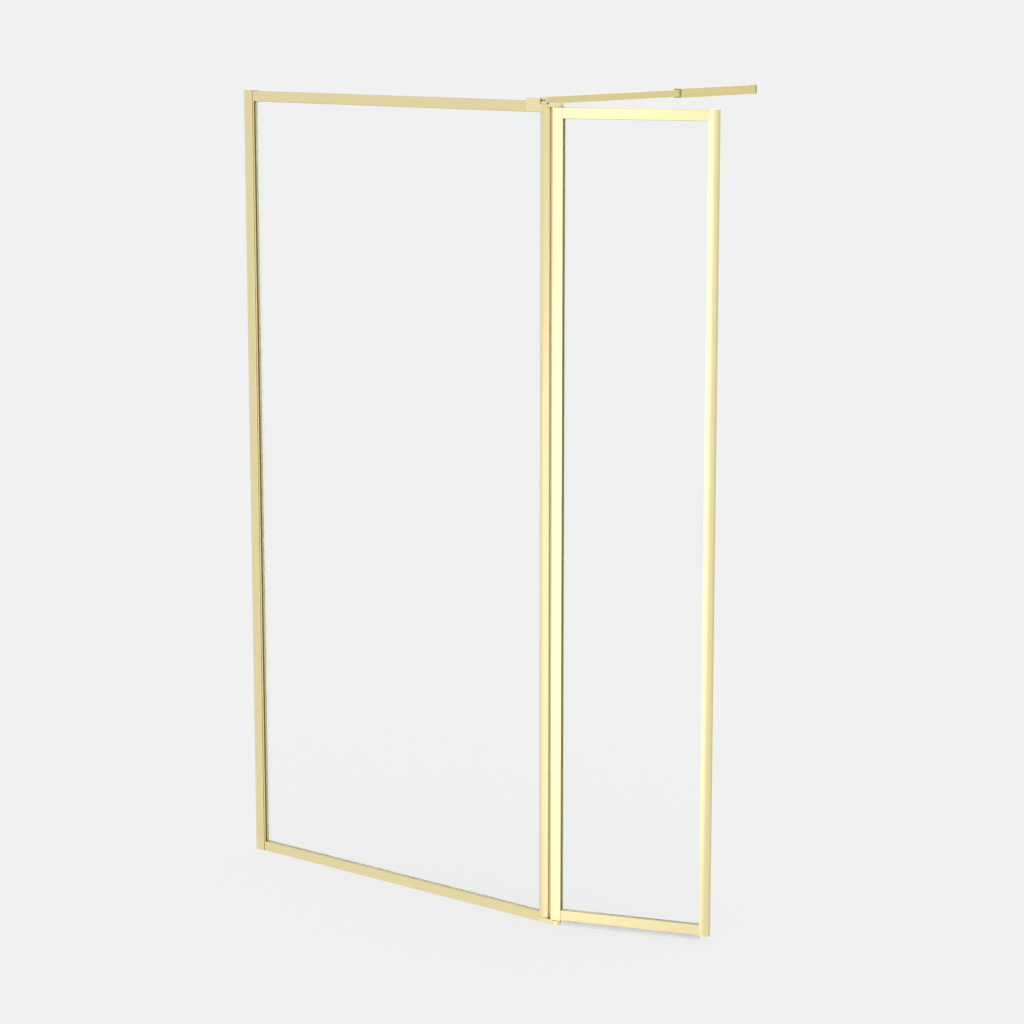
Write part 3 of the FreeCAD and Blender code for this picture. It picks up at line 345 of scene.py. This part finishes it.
def frontShare(tree, coords, back):
    # 1 on what faces forwards or lies in front of the pane's middle, where the painted lip shade goes
    side = addNode(tree, "ShaderNodeVectorMath", (-700, 400), operation="DOT_PRODUCT")
    side.inputs[1].default_value = back
    turned = addNode(tree, "ShaderNodeMath", (-500, 400), operation="MULTIPLY", use_clamp=True)
    turned.inputs[1].default_value = -1
    wire(tree, coords.outputs["Normal"], side.inputs[0])
    wire(tree, side.outputs["Value"], turned.inputs[0])
    offset = addNode(tree, "ShaderNodeVectorMath", (-900, 600), operation="SUBTRACT")
    offset.inputs[1].default_value = pivot["pos_m"]
    depth = addNode(tree, "ShaderNodeVectorMath", (-700, 600), operation="DOT_PRODUCT")
    depth.inputs[1].default_value = back
    front = addNode(tree, "ShaderNodeMath", (-500, 600), operation="LESS_THAN")
    front.inputs[1].default_value = 0
    wire(tree, coords.outputs["Object"], offset.inputs[0])
    wire(tree, offset.outputs["Vector"], depth.inputs[0])
    wire(tree, depth.outputs["Value"], front.inputs[0])
    either = addNode(tree, "ShaderNodeMath", (-350, 500), operation="MAXIMUM")
    wire(tree, turned.outputs[0], either.inputs[0])
    wire(tree, front.outputs[0], either.inputs[1])
    return either.outputs[0]


def makeMoulded(name):
    finish = mouldedFinishes[name]
    material, tree, shader = startMaterial(name)
    coords = addNode(tree, "ShaderNodeTexCoord", (-900, 0))
    grain = noise(tree, (-700, 0), coords.outputs["Object"], finish["scale"], mouldedGrain["detail"])
    colour = ramp(tree, (-450, 150), grain, mouldedGrain["toneSpread"], (finish["low"], finish["high"]))
    if "lip" in finish:
        back, shown = finish["lip"]
        colour = mixColour(tree, (-200, 250), frontShare(tree, coords, back), colour, shown)
    wire(tree, colour, shader.inputs["Base Color"])
    rough = mapRange(tree, (-450, -100), grain, (0, 1), finish["rough"])
    wire(tree, rough, shader.inputs["Roughness"])
    addBump(tree, shader, grain, finish["bump"], mouldedGrain["bumpDepth"])
    shader.inputs["Metallic"].default_value = finish["metal"]
    shader.inputs["Transmission Weight"].default_value = finish["clear"]
    return material


goldWallStile = makeBrushedGold("goldWallStile", "Z", softPaintedShade, reveal=(1, 0, 0))
goldLeafStile = makeBrushedGold("goldLeafStile", "Z", softPaintedShade, reveal=leafLine)
goldUpright = makeBrushedGold("goldUpright", "Z", faintPaintedShade)
goldRail = makeBrushedGold("goldRail", "X", softPaintedShade)
goldLeafRail = makeBrushedGold("goldLeafRail", "X", softPaintedShade, turn=flipperTurn)
goldArm = makeBrushedGold("goldArm", "Y", softPaintedShade, tones=armGold)
goldCast = makeCastGold("goldCast")
tongueRoot = [a + b for a, b in zip(joints["arm_swivel"]["pos_m"], castGold["rootOffset"])]
goldBracket = makeCastGold("goldBracket", tongueRoot)
clearGlass = makePaneGlass("clearGlass")
moulded = {name: makeMoulded(name) for name in mouldedFinishes}
print("finishes made")

# which finish each node of the frame wears
nodeFinish = {
    "wall_channel": goldUpright, "wall_stile": goldWallStile, "pivot_post": goldUpright,
    "flipper_pivot_stile": goldLeafStile, "flipper_closing_stile": goldUpright,
    "top_rail": goldRail, "bottom_rail": goldRail,
    "flipper_top_rail": goldLeafRail, "flipper_bottom_rail": goldLeafRail,
    "arm_bar": goldArm, "arm_sleeve": goldArm,
    "top_bracket": goldBracket, "bottom_bracket": goldCast, "arm_knuckle": goldCast,
    "wall_stile_cap": moulded["trimGold"], "channel_cap": moulded["trimGold"],
    "closing_stile_cap_top": moulded["trimGold"], "closing_stile_cap_bottom": moulded["trimGold"],
    "adjuster_caps": moulded["trimGold"],
    "sleeve_bush": moulded["mouthShadeTrim"], "arm_wall_plug": moulded["plugPaintedShade"],
    "fixed_glass": clearGlass, "flipper_glass": clearGlass,
    "fixed_gasket_wall": moulded["wallVinyl"], "fixed_gasket_post": moulded["glazingVinyl"],
    "fixed_gasket_bottom": moulded["railVinyl"], "fixed_gasket_top": moulded["railVinyl"],
    "flipper_gasket_pivot": moulded["leafVinyl"], "flipper_gasket_closing": moulded["glazingVinyl"],
    "flipper_gasket_bottom": moulded["leafRailVinyl"], "flipper_gasket_top": moulded["leafRailVinyl"],
    "gap_seal": moulded["gapVinyl"], "drip_seal": moulded["clearVinyl"],
    "arm_bar_guide": moulded["darkNylon"],
    "top_pivot_bush": moulded["bronzeNylon"], "bottom_pivot_bush": moulded["bronzeNylon"],
    "wall_corner_keys": moulded["darkNylon"], "flipper_corner_keys": moulded["darkNylon"],
    "adjuster_screws": moulded["turnedSteel"], "top_pivot_pin": moulded["turnedSteel"],
    "bottom_pivot_pin": moulded["turnedSteel"], "arm_swivel_pin": moulded["turnedSteel"],
    "frame_screws": moulded["turnedSteel"], "flipper_screws": moulded["turnedSteel"],
    "sleeve_grub_screws": moulded["turnedSteel"],
}
for name, part in nodes.items():
    for slot in part.material_slots:
        slot.material = nodeFinish[name]
print("finishes put on", len(nodeFinish), "nodes")


# set screws and pins with a hex socket, in place of the plain plugs
setScrew = {
    "sides": 28,
    "socketSides": 6,
    "socketShare": 0.52,      # of the screw's radius
    "socketDepth": 0.0014,
    "weld": 1e-6,
    "digits": 5,      # screws of one size to this many decimals are made together
}


def screwPlaces(nodeName, outward):
    # each loose solid of the node gives its middle, radius and length, put together by size
    work = bmesh.new()
    work.from_mesh(nodes[nodeName].data)
    bmesh.ops.remove_doubles(work, verts=work.verts, dist=setScrew["weld"])
    left = set(work.verts)
    groups = {}
    while left:
        found = []
        heap = [left.pop()]
        while heap:
            vert = heap.pop()
            found.append(vert.co.copy())
            for edge in vert.link_edges:
                other = edge.other_vert(vert)
                if other in left:
                    left.remove(other)
                    heap.append(other)
        low = Vector([min(c[i] for c in found) for i in range(3)])
        high = Vector([max(c[i] for c in found) for i in range(3)])
        middle = (low + high) / 2
        reach = max((c - middle).dot(outward) for c in found)
        radius = max(((c - middle) - outward * (c - middle).dot(outward)).length for c in found)
        size = (round(radius, setScrew["digits"]), round(2 * reach, setScrew["digits"]))
        groups.setdefault(size, []).append(middle)
    work.free()
    return dict(sorted(groups.items()))


def buildScrewTree():
    tree = bpy.data.node_groups.new("hexSetScrew", "GeometryNodeTree")
    tree.interface.new_socket("Geometry", in_out="INPUT", socket_type="NodeSocketGeometry")
    for name in ("Radius", "Length", "Socket", "Socket depth"):
        tree.interface.new_socket(name, in_out="INPUT", socket_type="NodeSocketFloat")
    tree.interface.new_socket("Finish", in_out="INPUT", socket_type="NodeSocketMaterial")
    tree.interface.new_socket("Geometry", in_out="OUTPUT", socket_type="NodeSocketGeometry")
    given = addNode(tree, "NodeGroupInput", (-900, 0))
    result = addNode(tree, "NodeGroupOutput", (900, 0))

    shank = addNode(tree, "GeometryNodeMeshCylinder", (-600, 150))
    shank.inputs["Vertices"].default_value = setScrew["sides"]
    wire(tree, given.outputs["Radius"], shank.inputs["Radius"])
    wire(tree, given.outputs["Length"], shank.inputs["Depth"])
    socket = addNode(tree, "GeometryNodeMeshCylinder", (-600, -150))
    socket.inputs["Vertices"].default_value = setScrew["socketSides"]
    wire(tree, given.outputs["Socket"], socket.inputs["Radius"])
    wire(tree, given.outputs["Socket depth"], socket.inputs["Depth"])
    half = addNode(tree, "ShaderNodeMath", (-600, -400), operation="MULTIPLY")
    half.inputs[1].default_value = 0.5
    wire(tree, given.outputs["Length"], half.inputs[0])
    lift = addNode(tree, "ShaderNodeCombineXYZ", (-400, -400))
    wire(tree, half.outputs[0], lift.inputs["Z"])
    raised = addNode(tree, "GeometryNodeTransform", (-350, -150))
    wire(tree, socket.outputs["Mesh"], raised.inputs["Geometry"])
    wire(tree, lift.outputs[0], raised.inputs["Translation"])
    cut = addNode(tree, "GeometryNodeMeshBoolean", (-100, 50), operation="DIFFERENCE")
    wire(tree, shank.outputs["Mesh"], cut.inputs["Mesh 1"])
    wire(tree, raised.outputs["Geometry"], cut.inputs["Mesh 2"])

    facing = addNode(tree, "GeometryNodeInputNamedAttribute", (-350, 400), data_type="FLOAT_VECTOR")
    facing.inputs["Name"].default_value = "facing"
    aim = addNode(tree, "FunctionNodeAlignEulerToVector", (-100, 400), axis="Z")
    wire(tree, facing.outputs["Attribute"], aim.inputs["Vector"])
    spread = addNode(tree, "GeometryNodeInstanceOnPoints", (200, 100))
    wire(tree, given.outputs["Geometry"], spread.inputs["Points"])
    wire(tree, cut.outputs["Mesh"], spread.inputs["Instance"])
    wire(tree, aim.outputs["Rotation"], spread.inputs["Rotation"])
    solid = addNode(tree, "GeometryNodeRealizeInstances", (430, 100))
    wire(tree, spread.outputs["Instances"], solid.inputs["Geometry"])
    dressed = addNode(tree, "GeometryNodeSetMaterial", (660, 100))
    wire(tree, solid.outputs["Geometry"], dressed.inputs["Geometry"])
    wire(tree, given.outputs["Finish"], dressed.inputs["Material"])
    wire(tree, dressed.outputs["Geometry"], result.inputs["Geometry"])
    return tree


screwTree = buildScrewTree()


def makeScrews(name, nodeName, body, outward):
    outward = Vector(outward)
    whole = bmesh.new()
    count = 0
    for (radius, length), middles in screwPlaces(nodeName, outward).items():
        points = bpy.data.meshes.new(name + "Points")
        points.from_pydata(sorted(middles, key=tuple), [], [])
        facing = points.attributes.new("facing", "FLOAT_VECTOR", "POINT")
        for item in facing.data:
            item.vector = outward
        carrier = bpy.data.objects.new(name + "Points", points)
        scene.collection.objects.link(carrier)
        nodesOn = carrier.modifiers.new("screws", "NODES")
        nodesOn.node_group = screwTree
        values = {
            "Radius": radius,
            "Length": length,
            "Socket": radius * setScrew["socketShare"],
            "Socket depth": setScrew["socketDepth"] * 2,      # half of it stands out of the end
            "Finish": moulded["turnedSteel"],
        }
        for item in screwTree.interface.items_tree:
            if item.item_type == "SOCKET" and item.in_out == "INPUT" and item.name in values:
                nodesOn[item.identifier] = values[item.name]
        bpy.context.view_layer.update()
        evaluated = carrier.evaluated_get(bpy.context.evaluated_depsgraph_get())
        made = bpy.data.meshes.new_from_object(evaluated)
        carrier.modifiers.remove(nodesOn)
        bpy.data.objects.remove(carrier)
        whole.from_mesh(made)
        bpy.data.meshes.remove(made)
        count += len(middles)
    mesh = bpy.data.meshes.new(name)
    whole.to_mesh(mesh)
    whole.free()
    mesh.materials.append(moulded["turnedSteel"])
    screws = bpy.data.objects.new(name, mesh)
    scene.collection.objects.link(screws)
    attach(screws, body)
    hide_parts(nodeName)
    print(name, count, "of", len(mesh.polygons), "faces")


makeScrews("frameSetScrews", "frame_screws", "fixed_panel", (0, 1, 0))
makeScrews("leafSetScrews", "flipper_screws", "flipper", leafBack)
makeScrews("sleeveGrubScrews", "sleeve_grub_screws", "arm_sleeve", (0, 0, -1))
makeScrews("swivelPin", "arm_swivel_pin", "fixed_panel", (0, 0, 1))


# plain studio room
studio = {
    "backdrop": (0.880, 0.880, 0.880),
    "ambient": 0.72,
    "farDim": 0.18,               # the far side of the room is a little dimmer in the metal
    "dimFrom": (-0.5, 0.95),      # from near to far
}


def pathShare(tree, place):
    # 1 for what the camera, metal and glass look at
    path = addNode(tree, "ShaderNodeLightPath", place)
    first = addNode(tree, "ShaderNodeMath", (place[0] + 200, place[1]), operation="MAXIMUM")
    second = addNode(tree, "ShaderNodeMath", (place[0] + 400, place[1]), operation="MAXIMUM")
    wire(tree, path.outputs["Is Camera Ray"], first.inputs[0])
    wire(tree, path.outputs["Is Glossy Ray"], first.inputs[1])
    wire(tree, first.outputs[0], second.inputs[0])
    wire(tree, path.outputs["Is Transmission Ray"], second.inputs[1])
    return second.outputs[0]


def makeWorld():
    world = bpy.data.worlds.new("studioWorld")
    world.use_nodes = True
    tree = world.node_tree
    tree.nodes.clear()
    seen = addNode(tree, "ShaderNodeBackground", (0, 100))
    seen.inputs["Color"].default_value = (*studio["backdrop"], 1)
    felt = addNode(tree, "ShaderNodeBackground", (0, -100))
    felt.inputs["Color"].default_value = (1, 1, 1, 1)
    felt.inputs["Strength"].default_value = studio["ambient"]
    pick = addNode(tree, "ShaderNodeMixShader", (250, 0))
    wire(tree, pathShare(tree, (-700, 300)), pick.inputs[0])
    wire(tree, felt.outputs[0], pick.inputs[1])
    wire(tree, seen.outputs[0], pick.inputs[2])

    path = addNode(tree, "ShaderNodeLightPath", (-900, -300))
    mirror = addNode(tree, "ShaderNodeMath", (-500, -300), operation="GREATER_THAN")
    wire(tree, path.outputs["Is Glossy Ray"], mirror.inputs[0])
    wire(tree, path.outputs["Is Transmission Ray"], mirror.inputs[1])      # not through the glass
    coords = addNode(tree, "ShaderNodeTexCoord", (-900, -500))
    parts = addNode(tree, "ShaderNodeSeparateXYZ", (-700, -500))
    wire(tree, coords.outputs["Generated"], parts.inputs[0])
    dim = mapRange(tree, (-500, -500), parts.outputs["Y"], studio["dimFrom"], (0, studio["farDim"]))
    level = addNode(tree, "ShaderNodeMath", (-300, -400), operation="MULTIPLY")
    wire(tree, mirror.outputs[0], level.inputs[0])
    wire(tree, dim, level.inputs[1])
    strength = addNode(tree, "ShaderNodeMath", (-150, -300), operation="SUBTRACT")
    strength.inputs[0].default_value = 1
    wire(tree, level.outputs[0], strength.inputs[1])
    wire(tree, strength.outputs[0], seen.inputs["Strength"])
    out = addNode(tree, "ShaderNodeOutputWorld", (500, 0))
    wire(tree, pick.outputs[0], out.inputs["Surface"])
    scene.world = world


# round paper floor, finer near the screen
paperFloor = {
    "middle": (0.7, 0.2, 0),
    "reach": 9.0,
    "rings": 14,
    "turns": 64,
    "widening": 1.5,
    "paper": (0.97, 0.97, 0.97),
    "shadowShare": 0.24,
    "shadowReach": 4.0,
}


def makeFloorMesh():
    work = bmesh.new()
    turns = paperFloor["turns"]
    centre = Vector(paperFloor["middle"])
    loops = []
    for ring in range(1, paperFloor["rings"] + 1):
        radius = paperFloor["reach"] * (ring / paperFloor["rings"]) ** paperFloor["widening"]
        loop = []
        for k in range(turns):
            angle = 2 * math.pi * k / turns
            loop.append(work.verts.new(centre + Vector((math.cos(angle), math.sin(angle), 0)) * radius))
        loops.append(loop)
    middle = work.verts.new(centre)
    for k in range(turns):
        after = (k + 1) % turns
        work.faces.new((middle, loops[0][k], loops[0][after]))
        for revealShadeShare, outer in zip(loops, loops[1:]):
            work.faces.new((revealShadeShare[k], outer[k], outer[after], revealShadeShare[after]))
    mesh = bpy.data.meshes.new("studioFloor")
    work.to_mesh(mesh)
    work.free()
    return mesh


def makePaper():
    material = bpy.data.materials.new("floorPaper")
    material.use_nodes = True
    tree = material.node_tree
    tree.nodes.clear()
    paper = addNode(tree, "ShaderNodeBsdfDiffuse", (0, 0))
    paper.inputs["Color"].default_value = (*paperFloor["paper"], 1)
    glow = addNode(tree, "ShaderNodeEmission", (0, -200))
    glow.inputs["Color"].default_value = (*studio["backdrop"], 1)
    coords = addNode(tree, "ShaderNodeTexCoord", (-1100, -400))
    ball = addNode(tree, "ShaderNodeMapping", (-900, -400), vector_type="TEXTURE")
    ball.inputs["Location"].default_value = paperFloor["middle"]
    ball.inputs["Scale"].default_value = [paperFloor["shadowReach"]] * 3
    fade = addNode(tree, "ShaderNodeTexGradient", (-700, -400), gradient_type="QUADRATIC_SPHERE")
    wire(tree, coords.outputs["Object"], ball.inputs["Vector"])
    wire(tree, ball.outputs["Vector"], fade.inputs["Vector"])
    share = addNode(tree, "ShaderNodeMath", (-450, -400), operation="MULTIPLY")
    share.inputs[1].default_value = paperFloor["shadowShare"]
    wire(tree, fade.outputs["Fac"], share.inputs[0])
    shown = addNode(tree, "ShaderNodeMixShader", (250, -150))      # mostly backdrop, shadow let in
    wire(tree, share.outputs[0], shown.inputs[0])
    wire(tree, glow.outputs[0], shown.inputs[1])
    wire(tree, paper.outputs[0], shown.inputs[2])
    pick = addNode(tree, "ShaderNodeMixShader", (500, 0))
    wire(tree, pathShare(tree, (-700, 300)), pick.inputs[0])
    wire(tree, paper.outputs[0], pick.inputs[1])
    wire(tree, shown.outputs[0], pick.inputs[2])
    out = addNode(tree, "ShaderNodeOutputMaterial", (750, 0))
    wire(tree, pick.outputs[0], out.inputs["Surface"])
    return material


def makeFloor():
    mesh = makeFloorMesh()
    mesh.materials.append(makePaper())
    floor = bpy.data.objects.new("studioFloor", mesh)
    scene.collection.objects.link(floor)
    floor.visible_glossy = False      # the metal looks past it to the same backdrop
    floor.visible_shadow = False


# softboxes; one without an aim faces straight back, and the strips light one piece alone
panes = ("fixed_glass", "flipper_glass")      # kept clear of lamp glare
softboxes = {
    "upperSoftbox": {"place": (2.7, -5.2, 1.7), "size": (4.0, 2.6), "watts": 33, "mirrored": True,
                     "skips": (*panes, "pivot_post", "top_bracket", "flipper_top_rail")},
    "lowerSoftbox": {"place": (2.45, -5.2, -0.45), "size": (3.4, 1.8), "watts": 22, "mirrored": True,
                     "skips": (*panes, "flipper_bottom_rail", "pivot_post")},
    "lowSoftbox": {"place": (0.0, -5.2, -0.8), "size": (2.8, 2.8), "watts": 20, "mirrored": True,
                   "skips": (*panes, "pivot_post")},
    "topSoftbox": {"place": (0.8, 0.4, 6.0), "aim": (0.8, 0.3, 0), "size": (5.0, 5.0), "watts": 55,
                   "mirrored": False, "skips": panes},
    "rearSoftbox": {"place": (-1.0, 5.5, 2.6), "aim": (0.6, 0, 1.0), "size": (4.0, 3.0), "watts": 24,
                    "mirrored": True, "skips": panes},
    "cameraFill": {"place": (4.9, -5.0, 2.6), "aim": (0.6, 0, 1.0), "size": (3.0, 3.0), "watts": 240,
                   "mirrored": False, "skips": (*panes, "studioFloor", "drip_seal", "gap_seal")},
    "postStrip": {"place": (3.0, -5.65, -0.75), "aim": (0.98, 0, -0.75), "size": (10.0, 3.0),
                  "watts": 50, "mirrored": True, "only": ("pivot_post",)},
    "leafRailStrip": {"place": (0.3, -5.2, 1.75), "size": (2.2, 2.0), "watts": 19, "mirrored": True,
                      "only": ("flipper_top_rail",)},
}


def makeSoftbox(name, box):
    lamp = bpy.data.lights.new(name, "AREA")
    lamp.shape = "RECTANGLE"
    lamp.size, lamp.size_y = box["size"]
    lamp.energy = box["watts"]
    light = bpy.data.objects.new(name, lamp)
    place = Vector(box["place"])
    aim = Vector(box.get("aim", (place.x, 0, place.z)))
    light.location = place
    light.rotation_mode = "QUATERNION"
    light.rotation_quaternion = (aim - place).to_track_quat("-Z", "Y")
    light.visible_camera = False
    light.visible_glossy = box["mirrored"]
    linked = bpy.data.collections.new(name + "Links")
    for each in box.get("only", box.get("skips")):
        linked.objects.link(scene.objects[each])
    for item in linked.collection_objects:
        item.light_linking.link_state = "INCLUDE" if "only" in box else "EXCLUDE"
    light.light_linking.receiver_collection = linked
    scene.collection.objects.link(light)


makeWorld()
makeFloor()
for name, box in softboxes.items():
    makeSoftbox(name, box)
print("floor and light set")
